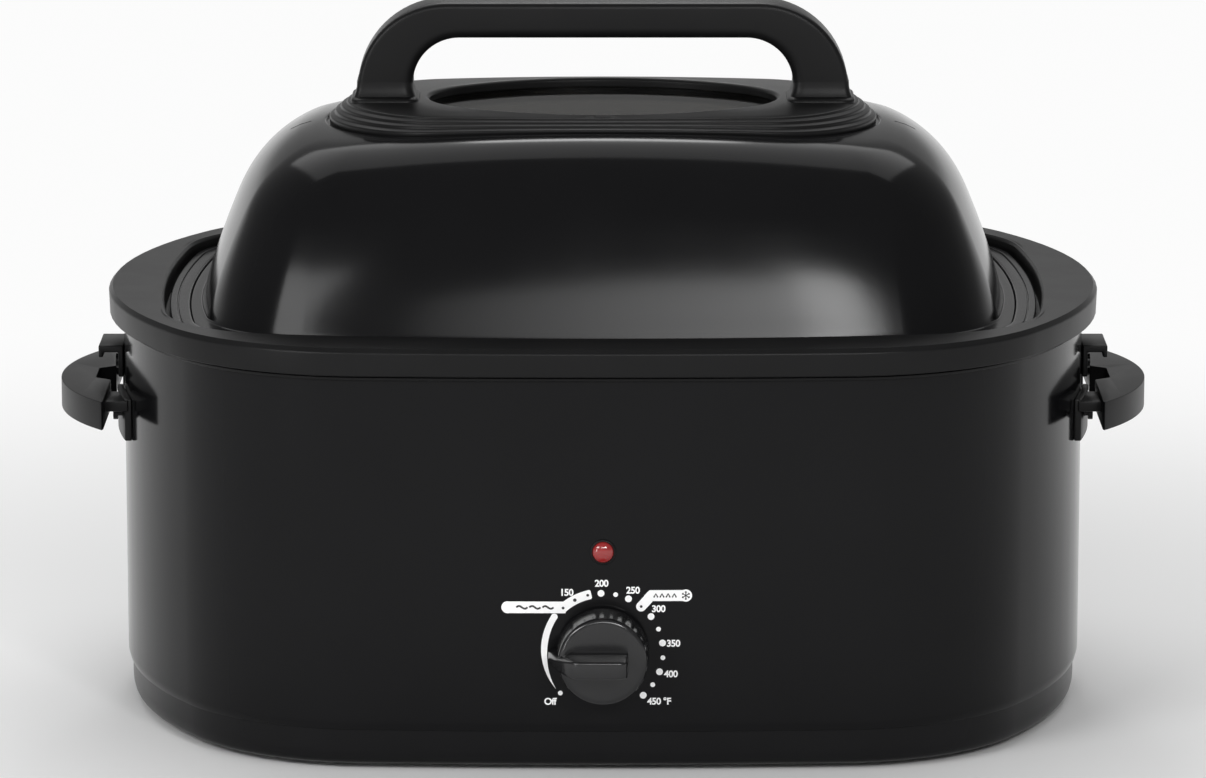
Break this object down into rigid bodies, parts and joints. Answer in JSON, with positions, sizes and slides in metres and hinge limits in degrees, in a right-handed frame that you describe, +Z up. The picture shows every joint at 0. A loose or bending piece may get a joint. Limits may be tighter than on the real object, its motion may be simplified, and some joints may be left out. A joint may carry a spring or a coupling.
{
  "type": "electric roaster oven",
  "caption": "Oval countertop roaster oven with lift-off domed lid, viewing window, lift-out pan and rack, front temperature knob and side handles.",
  "frame": {"origin": "middle of the overall box, on the surface the feet stand on", "axes": "+X to the right along the long side, +Y to the back, +Z up; the control knob faces -Y"},
  "size_m": [0.61, 0.4602, 0.392],
  "materials": {
    "painted_steel": "gloss black baked enamel on steel sheet",
    "rim_plastic": "satin black heat-resistant moulding",
    "base_paint": "semi-gloss black painted steel",
    "bare_steel": "aluminised steel sheet",
    "glass_wool": "yellowish mineral wool blanket",
    "mica": "mica and steel heating band",
    "ceramic": "cream ceramic",
    "zinc": "zinc-plated steel",
    "copper": "copper bulb and capillary",
    "red_lens": "clear red lens",
    "wire_sleeve": "woven glass wire sleeve",
    "black_rubber": "black rubber",
    "handle_plastic": "satin black phenolic moulding",
    "knob_plastic": "semi-gloss black moulding",
    "pan_enamel": "black vitreous enamel on steel",
    "chrome_wire": "chromed steel wire",
    "window_glass": "smoky tempered glass"
  },
  "bodies": {
    "housing": {"outer_shell": "painted_steel", "rim_collar": "rim_plastic", "base_pan": "base_paint", "heat_well": "bare_steel", "insulation_wrap": "glass_wool", "heating_band": "mica", "band_clamp": "zinc", "thermostat_body": "ceramic", "thermostat_bracket": "zinc", "thermostat_screws": "zinc", "sensor_bulb": "copper", "indicator_lens": "red_lens", "lamp_holder": "ceramic", "terminal_block": "ceramic", "wiring_leads": "wire_sleeve", "cord_bush": "black_rubber", "tie_posts": "zinc", "rubber_feet": "black_rubber", "base_screws": "zinc", "side_handle_left": "handle_plastic", "side_handle_right": "handle_plastic", "lid_rest_left": "handle_plastic", "lid_rest_right": "handle_plastic", "handle_screws": "zinc", "handle_nuts": "zinc"},
    "knob": {"control_knob": "knob_plastic", "thermostat_shaft": "zinc", "knob_spring": "zinc"},
    "pan": {"roasting_pan": "pan_enamel"},
    "rack": {"wire_rack": "chrome_wire"},
    "lid": {"lid_shell": "painted_steel", "window_glass": "window_glass", "window_gasket": "black_rubber", "lid_handle": "handle_plastic", "window_frame": "handle_plastic", "frame_screws": "zinc"}
  },
  "joints": [
    {"name": "knob_turn", "type": "hinge", "parent": "housing", "child": "knob", "pos_m": [0, -0.1861, 0.068], "axis": [0, 1, 0], "range_deg": [-44.8, 228]},
    {"name": "pan_lift", "type": "slide", "parent": "housing", "child": "pan", "axis": [0, 0, 1], "range_m": [0, 0.2]},
    {"name": "rack_lift", "type": "slide", "parent": "pan", "child": "rack", "axis": [0, 0, 1], "range_m": [0, 0.14]},
    {"name": "lid_lift", "type": "slide", "parent": "pan", "child": "lid", "axis": [0, 0, 1], "range_m": [0, 0.15]}
  ]
}
